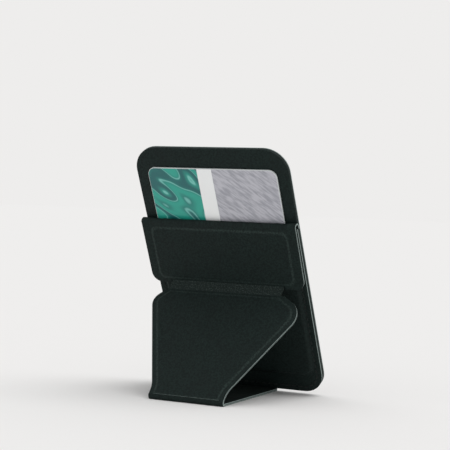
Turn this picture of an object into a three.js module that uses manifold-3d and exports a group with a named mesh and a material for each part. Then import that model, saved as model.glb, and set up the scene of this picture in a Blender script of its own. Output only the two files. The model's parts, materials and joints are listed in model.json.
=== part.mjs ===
// A card holder with a fold-out stand, in millimetres.
// The holder is drawn lying in its own plane: x across, y up from the bottom edge of the pad, z out of
// the pad's back face towards the stand. It is then leaned forward on to the floor, which is Z = 0.

import * as THREE from 'three';
import { mergeVertices } from 'three/addons/utils/BufferGeometryUtils.js';
import Module from 'manifold-3d';

const wasm = await Module();
wasm.setup();

// Clearances
const GLUE = 0.05;                  // between glued layers
const SEAM = 0.1;                   // between the ends of a sheet and its fold
const NEST = 0.15;                  // round a magnet or a board in its recess

// Pad
const PAD_WIDTH = 63.8;
const PAD_HEIGHT = 103.3;
const PAD_TOP_RADIUS = 9.5;
const PAD_BOTTOM_RADIUS = 8.5;
const BACK_COVER_THICKNESS = 0.6;
const CARRIER_THICKNESS = 0.75;
const CARRIER_FLOOR = 0.15;
const CARRIER_MARGIN = 3.0;
const INNER_COVER_THICKNESS = 0.55;

// Magnets in the pad
const RING_COUNT = 16;
const RING_SIDE_MARGIN = 1.3;       // from the carrier's side edges to the ring
const RING_TOP_MARGIN = 2.9;        // from the carrier's upper edge to the ring
const RING_BAND = 4.5;
const RING_GAP_ANGLE = THREE.MathUtils.degToRad(2.0);
const MAGNET_THICKNESS = 0.4;
const SHIELD_THICKNESS = 0.1;
const BAR_WIDTH = 6.0;
const BAR_LENGTH = 16.0;
const BAR_DROP = 3.6;               // from the ring's outer edge to the alignment bar

// Card and pocket
const CARD_WIDTH = 53.98;
const CARD_HEIGHT = 85.6;
const CARD_THICKNESS = 0.8;
const CARD_RADIUS = 3.18;
const CARD_BOTTOM = 9.9;            // from the bottom edge of the pad to the card
const CARD_SIDEWAYS = 0.3;
const CARD_PLAY = 0.3;              // in the plane of the card
const CARD_FACE_PLAY = 0.1;         // in front of and behind the card
const WALL_BORDER = 0.7;            // thickness of the wall where it is stitched to the pad
const WALL_SKIN_THICKNESS = 0.65;   // over the card
const WALL_LINING_THICKNESS = 0.25;
const WALL_SLOPE = 2.0;             // width of the slope from the border up to the card
const WALL_SIDE = 0.3;              // from the card's room to the top of that slope

// Keeper magnets in the lower end of the carrier
const KEEPER_LENGTH = 10.0;
const KEEPER_WIDTH = 4.0;
const KEEPER_HEIGHT = 6.5;          // centre, above the bottom edge of the pad
const KEEPER_SPACING = 14.0;

// Sheet of the stand
const SKIN_MARGIN = 0.55;           // skin round the boards
const SKIN_FIELD = 0.4;             // skin over the boards
const BOARD_THICKNESS = 0.45;
const LINING_THICKNESS = 0.25;
const BOARD_RAISE = 0.35;           // how far a board lifts the skin that covers it
const BOARD_SLOPE = 0.7;            // width of the slope round a raised board
const BOARD_INSET = 3.2;            // from a panel's slanted or side edge to its board
const BOARD_CORNER = 2.5;

// Upper panel and the fold over the pocket's mouth
const FOLD_HEIGHT = 73.3;           // centre of the top fold, above the bottom edge of the pad
const FOLD_RADIUS = 1.3;
const PANEL_WIDTH = 65.2;
const PANEL_LENGTH = 24.9;          // from the centre of the top fold to the valley fold
const PANEL_LIP = 0.9;              // how far the panel's lower corners reach past the valley fold
const PANEL_RADIUS = 4.0;
const PANEL_TILT = THREE.MathUtils.degToRad(0.7);
const PANEL_BOARD_INSET = 5.0;
const PANEL_BOARD_TOP = 3.0;        // from the centre of the top fold to the board
const PANEL_BOARD_BOTTOM = 2.4;     // from the valley fold to the board

// Leg
const NECK_WIDTH = 47.8;
const NECK_LENGTH = 3.9;
const HINGE_CLEARANCE = 0.4;        // from the valley fold's line to the sheet on each side
const RIGHT_SHOULDER_REACH = 35.15; // from the middle to the sharp corner, before it is rounded
const RIGHT_SHOULDER_DROP = 10.0;
const RIGHT_SHOULDER_RADIUS = 7.5;
const LEFT_SHOULDER_REACH = 29.8;   // the leg's left side is narrower
const LEFT_SHOULDER_DROP = 9.0;
const LEFT_SHOULDER_RADIUS = 5.0;
const FOOT_WIDTH = 31.0;
const FOOT_RISE = 6.3;              // the straight stretch of the leg's edge above the floor corner
const FOOT_EDGE_RADIUS = 10.0;
const LEG_LENGTH = 53.3;            // from the valley fold to the corner on the floor
const LEG_BOARD_TOP = 6.2;          // from the valley fold to the board
const LEG_BOARD_BOTTOM = 1.0;       // from the foot fold to the board
const FOOT_RADIUS = 1.4;

// Base and the way the holder stands
const BASE_END_WIDTH = 22.0;
const BASE_END_RADIUS = 3.0;
const BASE_BOARD_INSET = 2.4;
const BASE_BOARD_NEAR = 1.6;        // from the foot fold to the board
const BASE_END_REACH = 0.6;         // how far the base runs in under the pad's lower edge
const BASE_END_CLEARANCE = 0.3;     // from the end of the base up to the pad's lower edge
const BASE_MAGNET_LENGTH = 7.0;
const BASE_MAGNET_WIDTH = 4.0;
const BASE_MAGNET_SPACING = 9.0;
const BASE_MAGNET_SETBACK = 4.6;    // from the end of the base to the magnets' centres
const LEAN = THREE.MathUtils.degToRad(27.2);

// Facets on the curves; each step is two facets
const CORNER_STEPS = 6;
const FOLD_STEPS = 8;
const RING_STEPS = 48;

// Levels of the pad's layers, out from its back face
const CARRIER_BACK = BACK_COVER_THICKNESS + GLUE;
const CARRIER_FRONT = CARRIER_BACK + CARRIER_THICKNESS;
const INNER_COVER_BACK = CARRIER_FRONT + GLUE;
const INNER_COVER_FRONT = INNER_COVER_BACK + INNER_COVER_THICKNESS;
const MAGNET_BACK = CARRIER_BACK + CARRIER_FLOOR + GLUE;
const MAGNET_FRONT = MAGNET_BACK + MAGNET_THICKNESS;
const SHIELD_BACK = MAGNET_FRONT + GLUE;
const CARD_BACK = INNER_COVER_FRONT + CARD_FACE_PLAY;
const CARD_FRONT = CARD_BACK + CARD_THICKNESS;
const WALL_BACK = INNER_COVER_FRONT + GLUE;
const BORDER_FRONT = WALL_BACK + WALL_BORDER;
const WALL_LINING_BACK = CARD_FRONT + CARD_FACE_PLAY;
const WALL_LINING_FRONT = WALL_LINING_BACK + WALL_LINING_THICKNESS;
const WALL_FRONT = WALL_LINING_FRONT + GLUE + WALL_SKIN_THICKNESS;
const WALL_TOP = FOLD_HEIGHT - FOLD_RADIUS - NEST;
const RING_OUTER_RADIUS = PAD_WIDTH / 2 - CARRIER_MARGIN - RING_SIDE_MARGIN;
const RING_CENTRE = PAD_HEIGHT - CARRIER_MARGIN - RING_TOP_MARGIN - RING_OUTER_RADIUS;
const RING_INNER_RADIUS = RING_OUTER_RADIUS - RING_BAND;

// The top fold turns about a line just in front of the card
const FOLD_OUT = CARD_FRONT + 2 * CARD_FACE_PLAY + FOLD_RADIUS;

// Triangle of the open stand, in the plane across the folds
const VALLEY_UP = FOLD_HEIGHT - PANEL_LENGTH * Math.cos(PANEL_TILT) + FOLD_RADIUS * Math.sin(PANEL_TILT);
const VALLEY_OUT = FOLD_OUT + PANEL_LENGTH * Math.sin(PANEL_TILT) + FOLD_RADIUS * Math.cos(PANEL_TILT);
const PAD_EDGE_RISE = SKIN_MARGIN + GLUE + LINING_THICKNESS + BASE_END_CLEARANCE;
const VALLEY_FORWARD = VALLEY_OUT - BORDER_FRONT;
const VALLEY_RISE = PAD_EDGE_RISE + VALLEY_UP * Math.cos(LEAN) - VALLEY_FORWARD * Math.sin(LEAN);
const VALLEY_RUN = VALLEY_UP * Math.sin(LEAN) + VALLEY_FORWARD * Math.cos(LEAN);
const FOOT_ANGLE = Math.asin(VALLEY_RISE / LEG_LENGTH);
const FOOT_RUN = VALLEY_RUN + LEG_LENGTH * Math.cos(FOOT_ANGLE);
const LEG_TURN = Math.PI / 2 + LEAN - FOOT_ANGLE - PANEL_TILT;
const FOOT_TANGENT = FOOT_RADIUS / Math.tan(FOOT_ANGLE / 2);
const BASE_LENGTH = FOOT_RUN + BASE_END_REACH;

// Colours of the real pieces
const LEATHER = { color: 0x1f2a28, roughness: 0.62, metalness: 0 };
const HINGE_CLOTH = { color: 0x39423f, roughness: 0.9, metalness: 0 };
const BOARD = { color: 0x8d8a80, roughness: 0.9, metalness: 0 };
const MAGNET = { color: 0xb9bcc0, roughness: 0.35, metalness: 1 };
const STEEL = { color: 0x9a9da0, roughness: 0.4, metalness: 1 };
const CARD = { color: 0x6f9a98, roughness: 0.45, metalness: 0 };

function corner(x, y, radius = 0) {
  return { point: new THREE.Vector2(x, y), radius };
}

// A closed outline through the corners given, each rounded by its own radius.
function outline(corners) {
  const shape = new THREE.Shape();
  corners.forEach(({ point, radius }, i) => {
    const before = corners[(i + corners.length - 1) % corners.length].point;
    const after = corners[(i + 1) % corners.length].point;
    const inward = before.clone().sub(point).normalize();
    const onward = after.clone().sub(point).normalize();
    const half = Math.acos(THREE.MathUtils.clamp(inward.dot(onward), -1, 1)) / 2;
    const setback = radius / Math.tan(half);
    const start = point.clone().addScaledVector(inward, setback);
    if (i === 0) {
      shape.moveTo(start.x, start.y);
    } else {
      shape.lineTo(start.x, start.y);
    }
    if (radius > 0) {
      const middle = inward.clone().add(onward).normalize();
      const centre = point.clone().addScaledVector(middle, radius / Math.sin(half));
      const end = point.clone().addScaledVector(onward, setback);
      const turn = inward.x * onward.y - inward.y * onward.x;
      const from = Math.atan2(start.y - centre.y, start.x - centre.x);
      const to = Math.atan2(end.y - centre.y, end.x - centre.x);
      shape.absarc(centre.x, centre.y, radius, from, to, turn > 0);
    }
  });
  return shape;
}

function rectangle(x, y, width, height, radius = 0) {
  return outline([
    corner(x - width / 2, y - height / 2, radius),
    corner(x + width / 2, y - height / 2, radius),
    corner(x + width / 2, y + height / 2, radius),
    corner(x - width / 2, y + height / 2, radius),
  ]);
}

function slab(shape, back, front, curveSegments = CORNER_STEPS) {
  const geometry = new THREE.ExtrudeGeometry(shape, {
    depth: front - back,
    bevelEnabled: false,
    curveSegments,
  });
  return geometry.translate(0, 0, back);
}

// A section in the plane across the folds (up, out), drawn out along x.
function barAcross(section, width) {
  const geometry = new THREE.ExtrudeGeometry(section, {
    depth: width,
    bevelEnabled: false,
    curveSegments: FOLD_STEPS,
  });
  const axes = new THREE.Matrix4().makeBasis(
    new THREE.Vector3(0, 1, 0),
    new THREE.Vector3(0, 0, 1),
    new THREE.Vector3(1, 0, 0),
  );
  return geometry.applyMatrix4(axes).translate(-width / 2, 0, 0);
}

function toSolid(geometry) {
  const bare = geometry.clone();
  bare.deleteAttribute('normal');
  bare.deleteAttribute('uv');
  const merged = mergeVertices(bare, 1e-4);
  return new wasm.Manifold(new wasm.Mesh({
    numProp: 3,
    vertProperties: new Float32Array(merged.attributes.position.array),
    triVerts: new Uint32Array(merged.index.array),
  }));
}

function toGeometry(solid) {
  const mesh = solid.getMesh();
  const geometry = new THREE.BufferGeometry();
  geometry.setAttribute('position', new THREE.BufferAttribute(new Float32Array(mesh.vertProperties), 3));
  geometry.setIndex(new THREE.BufferAttribute(new Uint32Array(mesh.triVerts), 1));
  geometry.computeVertexNormals();
  return geometry;
}

function combine(pieces, cuts = []) {
  const whole = pieces.map(toSolid).reduce((sum, solid) => sum.add(solid));
  return toGeometry(cuts.map(toSolid).reduce((left, solid) => left.subtract(solid), whole));
}

// A slab whose front stands proud of a shoulder, with an even slope down to it all round.
function mound(shape, back, shoulder, front, slope) {
  const rise = front - shoulder;
  const swollen = new THREE.ExtrudeGeometry(shape, {
    depth: shoulder - back,
    bevelThickness: rise,
    bevelSize: slope,
    bevelSegments: 1,
    curveSegments: CORNER_STEPS,
  });
  const behind = slab(rectangle(0, 0, 4 * PAD_HEIGHT, 4 * PAD_HEIGHT), back - 2 * rise, back);
  return combine([swollen.translate(0, 0, back)], [behind]);
}

function piece(name, geometry, finish) {
  const mesh = new THREE.Mesh(geometry, new THREE.MeshStandardMaterial(finish));
  mesh.name = name;
  return mesh;
}

function padOutline(inset = 0, top = PAD_HEIGHT) {
  const side = PAD_WIDTH / 2 - inset;
  const topRadius = top < PAD_HEIGHT ? 0 : PAD_TOP_RADIUS - inset;
  return outline(bothSides([
    corner(side, top - inset, topRadius),
    corner(side, inset, PAD_BOTTOM_RADIUS - inset),
  ]));
}

// Part of a flat ring, between two radii and two angles.
function ringSector(radiusIn, radiusOut, from, to) {
  const shape = new THREE.Shape();
  shape.absarc(0, RING_CENTRE, radiusOut, from, to, false);
  shape.absarc(0, RING_CENTRE, radiusIn, to, from, true);
  return shape;
}

function fullRing(radiusIn, radiusOut) {
  const shape = new THREE.Shape();
  shape.absarc(0, RING_CENTRE, radiusOut, 0, 2 * Math.PI, false);
  const hole = new THREE.Path();
  hole.absarc(0, RING_CENTRE, radiusIn, 0, 2 * Math.PI, true);
  shape.holes.push(hole);
  return shape;
}

function backCover() {
  return piece('back_cover', slab(padOutline(), 0, BACK_COVER_THICKNESS), LEATHER);
}

function barOutline(grow = 0) {
  const middle = RING_CENTRE - RING_OUTER_RADIUS - BAR_DROP - BAR_LENGTH / 2;
  return rectangle(0, middle, BAR_WIDTH + 2 * grow, BAR_LENGTH + 2 * grow);
}

function magnetCarrier() {
  const board = slab(padOutline(CARRIER_MARGIN), CARRIER_BACK, CARRIER_FRONT);
  const recessBack = CARRIER_BACK + CARRIER_FLOOR;
  const past = CARRIER_FRONT + GLUE;
  const ring = fullRing(RING_INNER_RADIUS - NEST, RING_OUTER_RADIUS + NEST);
  const groove = slab(ring, recessBack, past, RING_STEPS);
  const bars = [barOutline(NEST), keeperOutline(-1, NEST), keeperOutline(1, NEST)];
  const barRecesses = bars.map((bar) => slab(bar, recessBack, past));
  return piece('magnet_carrier', combine([board], [groove, ...barRecesses]), BOARD);
}

function ringMagnets() {
  const pitch = 2 * Math.PI / RING_COUNT;
  return Array.from({ length: RING_COUNT }, (_, i) => {
    const from = i * pitch + RING_GAP_ANGLE / 2;
    const sector = ringSector(RING_INNER_RADIUS, RING_OUTER_RADIUS, from, from + pitch - RING_GAP_ANGLE);
    const name = `ring_magnet_${String(i + 1).padStart(2, '0')}`;
    return piece(name, slab(sector, MAGNET_BACK, MAGNET_FRONT, RING_STEPS / RING_COUNT), MAGNET);
  });
}

function ringShield() {
  const ring = fullRing(RING_INNER_RADIUS, RING_OUTER_RADIUS);
  return piece('ring_shield', slab(ring, SHIELD_BACK, SHIELD_BACK + SHIELD_THICKNESS, RING_STEPS), STEEL);
}

function alignmentMagnet() {
  return piece('alignment_magnet', slab(barOutline(), MAGNET_BACK, MAGNET_FRONT), MAGNET);
}

// The cover on the stand's side, with a rim that closes the pad's edge round the carrier.
function innerCover() {
  const block = slab(padOutline(), CARRIER_BACK, INNER_COVER_FRONT);
  const room = slab(padOutline(CARRIER_MARGIN - NEST), CARRIER_BACK - GLUE, INNER_COVER_BACK);
  return piece('inner_cover', combine([block], [room]), LEATHER);
}

function cardMiddle() {
  return CARD_BOTTOM + CARD_HEIGHT / 2;
}

function card() {
  const shape = rectangle(CARD_SIDEWAYS, cardMiddle(), CARD_WIDTH, CARD_HEIGHT, CARD_RADIUS);
  return piece('card', slab(shape, CARD_BACK, CARD_FRONT), CARD);
}

function keeperOutline(side, grow = 0) {
  const width = KEEPER_LENGTH + 2 * grow;
  return rectangle(side * KEEPER_SPACING / 2, KEEPER_HEIGHT, width, KEEPER_WIDTH + 2 * grow);
}

function keeperMagnets() {
  return [-1, 1].map((side) => piece(
    side < 0 ? 'keeper_magnet_left' : 'keeper_magnet_right',
    slab(keeperOutline(side), MAGNET_BACK, MAGNET_FRONT),
    MAGNET,
  ));
}

// The card's room, open at the pocket's mouth.
function cardRoom(grow, top) {
  const bottom = CARD_BOTTOM - CARD_PLAY - grow;
  const width = CARD_WIDTH + 2 * (CARD_PLAY + grow);
  const side = (left) => CARD_SIDEWAYS + (left ? -width / 2 : width / 2);
  return outline([
    corner(side(false), top),
    corner(side(false), bottom, CARD_RADIUS + grow),
    corner(side(true), bottom, CARD_RADIUS + grow),
    corner(side(true), top),
  ]);
}

function pocketLining() {
  const shape = cardRoom(-CARD_PLAY, WALL_TOP);
  return piece('pocket_lining', slab(shape, WALL_LINING_BACK, WALL_LINING_FRONT), HINGE_CLOTH);
}

// The wall is stitched down along its border and stands proud over the card.
function pocketWall() {
  const past = WALL_TOP + 2 * WALL_SLOPE;
  const border = slab(padOutline(0, WALL_TOP), WALL_BACK, BORDER_FRONT);
  const cover = mound(cardRoom(WALL_SIDE, past), WALL_BACK, BORDER_FRONT, WALL_FRONT, WALL_SLOPE);
  const room = slab(cardRoom(0, past), WALL_BACK - GLUE, WALL_LINING_FRONT + GLUE);
  const above = slab(rectangle(0, WALL_TOP + PAD_HEIGHT / 2, 2 * PAD_WIDTH, PAD_HEIGHT), 0, 2 * WALL_FRONT);
  return piece('pocket_wall', combine([border, cover], [room, above]), LEATHER);
}

// Half a turn of the sheet over the pocket's mouth.
function topFold() {
  const section = new THREE.Shape();
  section.absarc(0, 0, FOLD_RADIUS, -Math.PI / 2, Math.PI / 2, false);
  section.absarc(0, 0, FOLD_RADIUS - SKIN_MARGIN, Math.PI / 2, -Math.PI / 2, true);
  return piece('top_fold', barAcross(section, PANEL_WIDTH), LEATHER);
}

// Moves each edge of an outline inwards by the same distance. Corners run clockwise.
function insetCorners(corners, distance) {
  return corners.map(({ point, radius }, i) => {
    const before = corners[(i + corners.length - 1) % corners.length].point;
    const after = corners[(i + 1) % corners.length].point;
    const into = point.clone().sub(before).normalize();
    const outOf = after.clone().sub(point).normalize();
    const turn = into.x * outOf.y - into.y * outOf.x;
    const shift = distance / (1 + into.dot(outOf));
    const x = point.x + shift * (into.y + outOf.y);
    const y = point.y - shift * (into.x + outOf.x);
    const rounded = turn < 0 ? Math.max(radius - distance, BOARD_CORNER - distance) : radius + distance;
    return corner(x, y, Math.max(rounded, 0));
  });
}

// Both halves of an outline, clockwise. Each half is listed from its top to its bottom, as if it were
// the right one.
function bothSides(right, left = right) {
  const mirrored = left.map(({ point, radius }) => corner(-point.x, point.y, radius)).reverse();
  return [...right, ...mirrored];
}

// Skin, board and lining of one stiff panel. Its outer margin is at z = 0, and the board swells either
// the skin or the lining. The board may have holes for magnets.
function stiffPanel(name, edge, boardCorners, boardInset, raisesSkin, holes = []) {
  const boardEdge = (grow) => outline(insetCorners(boardCorners, boardInset - grow));
  const liningFront = -SKIN_MARGIN - GLUE;
  const liningBack = liningFront - LINING_THICKNESS;
  const boardFront = (raisesSkin ? BOARD_RAISE : 0) - SKIN_FIELD - GLUE;
  const boardBack = boardFront - BOARD_THICKNESS;
  const room = slab(boardEdge(NEST), boardBack - GLUE, boardFront + GLUE);
  const skinPlates = [slab(edge, -SKIN_MARGIN, 0)];
  const liningPlates = [slab(edge, liningBack, liningFront)];
  if (raisesSkin) {
    skinPlates.push(mound(boardEdge(NEST), -SKIN_MARGIN, 0, BOARD_RAISE, BOARD_SLOPE));
  } else {
    const swell = boardBack - GLUE - LINING_THICKNESS;
    liningPlates.push(slab(boardEdge(NEST + LINING_THICKNESS), swell, liningFront));
  }
  const holeCuts = holes.map((hole) => slab(hole, boardBack - GLUE, boardFront + GLUE));
  return [
    piece(`${name}_skin`, combine(skinPlates, [room]), LEATHER),
    piece(`${name}_board`, combine([slab(boardEdge(0), boardBack, boardFront)], holeCuts), BOARD),
    piece(`${name}_lining`, combine(liningPlates, [room]), HINGE_CLOTH),
  ];
}

function upperPanel() {
  const side = PANEL_WIDTH / 2;
  const lip = -PANEL_LENGTH - PANEL_LIP;
  const valley = -PANEL_LENGTH + HINGE_CLEARANCE;
  const edge = outline(bothSides([
    corner(side, -SEAM),
    corner(side, lip, PANEL_RADIUS),
    corner(NECK_WIDTH / 2 + HINGE_CLEARANCE, lip),
    corner(NECK_WIDTH / 2 + HINGE_CLEARANCE, valley),
  ]));
  const boardCorners = bothSides([
    corner(side, PANEL_BOARD_INSET - PANEL_BOARD_TOP),
    corner(side, -PANEL_LENGTH + PANEL_BOARD_BOTTOM - PANEL_BOARD_INSET),
  ]);
  return stiffPanel('upper_panel', edge, boardCorners, PANEL_BOARD_INSET, true);
}

// The strip that bends in the valley between the upper panel and the leg.
function neckHinge() {
  const length = NECK_LENGTH - SEAM - HINGE_CLEARANCE;
  const strip = rectangle(0, -HINGE_CLEARANCE - length / 2, NECK_WIDTH, length);
  return piece('neck_hinge', slab(strip, -SKIN_MARGIN - GLUE, 0), HINGE_CLOTH);
}

function legCorners(top, bottom) {
  const half = (shoulder) => [
    corner(NECK_WIDTH / 2, -top),
    shoulder,
    corner(FOOT_WIDTH / 2, -LEG_LENGTH + FOOT_RISE, FOOT_EDGE_RADIUS),
    corner(FOOT_WIDTH / 2, -bottom),
  ];
  return bothSides(
    half(corner(RIGHT_SHOULDER_REACH, -RIGHT_SHOULDER_DROP, RIGHT_SHOULDER_RADIUS)),
    half(corner(LEFT_SHOULDER_REACH, -LEFT_SHOULDER_DROP, LEFT_SHOULDER_RADIUS)),
  );
}

function leg() {
  const edge = outline(legCorners(NECK_LENGTH, LEG_LENGTH - FOOT_TANGENT - SEAM));
  const boardTop = LEG_BOARD_TOP - BOARD_INSET;
  const boardBottom = LEG_LENGTH - FOOT_TANGENT - LEG_BOARD_BOTTOM + BOARD_INSET;
  return stiffPanel('leg', edge, legCorners(boardTop, boardBottom), BOARD_INSET, true);
}

// The rounded fold that the leg stands on.
function footFold() {
  const turn = Math.PI - FOOT_ANGLE;
  const inner = FOOT_RADIUS - SKIN_MARGIN;
  const section = new THREE.Shape();
  section.absarc(0, 0, FOOT_RADIUS, Math.PI / 2, Math.PI / 2 + turn, false);
  section.absarc(0, 0, inner, Math.PI / 2 + turn, Math.PI / 2, true);
  const fold = barAcross(section, FOOT_WIDTH);
  return piece('foot_fold', fold.translate(0, -LEG_LENGTH + FOOT_TANGENT, -FOOT_RADIUS), LEATHER);
}

function baseMagnetOutline(side, grow = 0) {
  return rectangle(
    side * BASE_MAGNET_SPACING / 2,
    -BASE_LENGTH + BASE_MAGNET_SETBACK,
    BASE_MAGNET_LENGTH + 2 * grow,
    BASE_MAGNET_WIDTH + 2 * grow,
  );
}

function base() {
  const near = FOOT_TANGENT + SEAM;
  const edge = outline(bothSides([
    corner(FOOT_WIDTH / 2, -near),
    corner(BASE_END_WIDTH / 2, -BASE_LENGTH, BASE_END_RADIUS),
  ]));
  const boardCorners = bothSides([
    corner(FOOT_WIDTH / 2, BASE_BOARD_INSET - near - BASE_BOARD_NEAR),
    corner(BASE_END_WIDTH / 2, -BASE_LENGTH),
  ]);
  const holes = [-1, 1].map((side) => baseMagnetOutline(side, NEST));
  const boardBack = -SKIN_FIELD - GLUE - BOARD_THICKNESS;
  const magnets = [-1, 1].map((side) => piece(
    side < 0 ? 'base_magnet_left' : 'base_magnet_right',
    slab(baseMagnetOutline(side), boardBack, boardBack + MAGNET_THICKNESS),
    MAGNET,
  ));
  return [...stiffPanel('base', edge, boardCorners, BASE_BOARD_INSET, false, holes), ...magnets];
}

function group(children, up = 0, out = 0, turn = 0) {
  const folded = new THREE.Group();
  folded.add(...children);
  folded.position.set(0, up, out);
  folded.rotation.x = turn;
  return folded;
}

const pad = [
  backCover(),
  magnetCarrier(),
  ...ringMagnets(),
  ringShield(),
  alignmentMagnet(),
  innerCover(),
  ...keeperMagnets(),
  pocketLining(),
  pocketWall(),
  card(),
];
const baseGroup = group(base(), -LEG_LENGTH, 0, Math.PI - FOOT_ANGLE);
const legGroup = group([neckHinge(), ...leg(), footFold(), baseGroup], -PANEL_LENGTH, 0, -LEG_TURN);
const panelGroup = group([...upperPanel(), legGroup], 0, FOLD_RADIUS);
const flap = group([topFold(), panelGroup], FOLD_HEIGHT, FOLD_OUT, -PANEL_TILT);

// The holder leans over its stand and is set down with the middle of its footprint at the origin.
const holder = group([...pad, flap], 0, 0, Math.PI / 2 + LEAN);
const placed = new THREE.Group();
placed.add(holder);
const extent = new THREE.Box3().setFromObject(placed, true);
const middle = extent.getCenter(new THREE.Vector3());
holder.position.set(-middle.x, -middle.y, -extent.min.z);

export default placed;
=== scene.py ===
"""The looks of a card holder with a fold-out stand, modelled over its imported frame.

Lengths in the classes are millimetres in a flat frame of the piece's own: x across, y up along the
sheet and z out of its outer face. A Place carries them into the row frame, in metres. Each new piece
keeps its flat coordinates in the attribute "sheet", which its finish reads.
"""

from __future__ import annotations

import json
import logging
import math
import random
from collections.abc import Callable, Sequence
from dataclasses import dataclass
from enum import Enum

import bmesh
import bpy
from mathutils import Color, Euler, Matrix, Vector


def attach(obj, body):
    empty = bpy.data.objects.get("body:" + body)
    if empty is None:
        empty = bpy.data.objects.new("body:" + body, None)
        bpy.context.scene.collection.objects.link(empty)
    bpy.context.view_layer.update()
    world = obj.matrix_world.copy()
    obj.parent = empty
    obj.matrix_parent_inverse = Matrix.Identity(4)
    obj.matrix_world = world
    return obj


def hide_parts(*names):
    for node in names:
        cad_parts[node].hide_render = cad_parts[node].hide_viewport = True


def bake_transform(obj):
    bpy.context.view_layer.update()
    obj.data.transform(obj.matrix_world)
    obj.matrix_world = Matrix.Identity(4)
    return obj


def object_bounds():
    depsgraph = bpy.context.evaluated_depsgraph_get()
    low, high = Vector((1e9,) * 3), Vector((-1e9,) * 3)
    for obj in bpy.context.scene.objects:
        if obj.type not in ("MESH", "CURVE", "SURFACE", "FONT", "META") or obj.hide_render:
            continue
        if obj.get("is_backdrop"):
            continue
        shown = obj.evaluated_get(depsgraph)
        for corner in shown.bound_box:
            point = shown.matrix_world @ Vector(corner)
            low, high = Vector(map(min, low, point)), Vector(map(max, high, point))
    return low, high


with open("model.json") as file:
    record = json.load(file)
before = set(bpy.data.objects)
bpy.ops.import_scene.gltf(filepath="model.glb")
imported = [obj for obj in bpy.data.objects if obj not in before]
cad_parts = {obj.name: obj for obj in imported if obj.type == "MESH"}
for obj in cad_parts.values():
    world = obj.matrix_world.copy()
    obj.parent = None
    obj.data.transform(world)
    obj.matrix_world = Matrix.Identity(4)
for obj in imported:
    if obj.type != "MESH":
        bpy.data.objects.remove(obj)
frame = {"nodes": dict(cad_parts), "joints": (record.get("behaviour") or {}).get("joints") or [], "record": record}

MM = 0.001
SHEET = "sheet"
ROUND_STEPS = 10       # faces round a rounded corner of an outline
LEAST_RADIUS = 0.08    # that an inset leaves of a rounded corner
SHARP = 0.01           # radius of a sharp corner that needs as many points as a round one
SOFTEN = 0.16          # radius on the edges of a cut sheet
SLOPE_STEPS = 8
SMOOTH_ANGLE = math.radians(40.0)
SIDE_FACING = 0.5      # a face whose normal's z is below this is a side
RIM_FACING = 0.97      # the same, with the softened edges
END_FACING = 0.7       # a face whose normal's x is above this is an end
log = logging.getLogger("card_holder")

Colour = tuple[float, float, float]
Pair = tuple[float, float]
Ring = list[Vector]
Material = bpy.types.Material
Socket = bpy.types.NodeSocket
Solid = bmesh.types.BMesh


def linear(red: int, green: int, blue: int) -> Colour:
    """Turns an sRGB colour of 0 to 255 into the linear colour that a shader takes."""
    return tuple(Color((red / 255, green / 255, blue / 255)).from_srgb_to_scene_linear())


def smooth(low: float, high: float, value: float) -> float:
    """Rises softly from 0 to 1 while a value goes from low to high."""
    share = min(max((value - low) / (high - low), 0.0), 1.0)
    return share * share * (3 - 2 * share)


class Coordinates(Enum):
    """What a pattern lies on, in millimetres."""

    SHEET = "sheet"
    OBJECT = "object"


class PaleFaces(Enum):
    """Which faces of a piece take its second material."""

    SIDES = "sides"
    RIM = "rim"
    ENDS = "ends"

    def holds(self, normal: Vector) -> bool:
        """Tells whether a face with this normal in the piece's flat frame is one of them."""
        if self is PaleFaces.ENDS:
            return abs(normal.x) > END_FACING
        return abs(normal.z) < (RIM_FACING if self is PaleFaces.RIM else SIDE_FACING)


@dataclass(frozen=True)
class Patches:
    """A random pattern: lumps per millimetre, finer layers, and the range and share of its patches."""

    scale: float
    detail: float = 2.0
    low: float = 0.0
    high: float = 1.0
    share: float = 1.0
    stretch: tuple[float, float, float] = (1.0, 1.0, 1.0)


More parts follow.
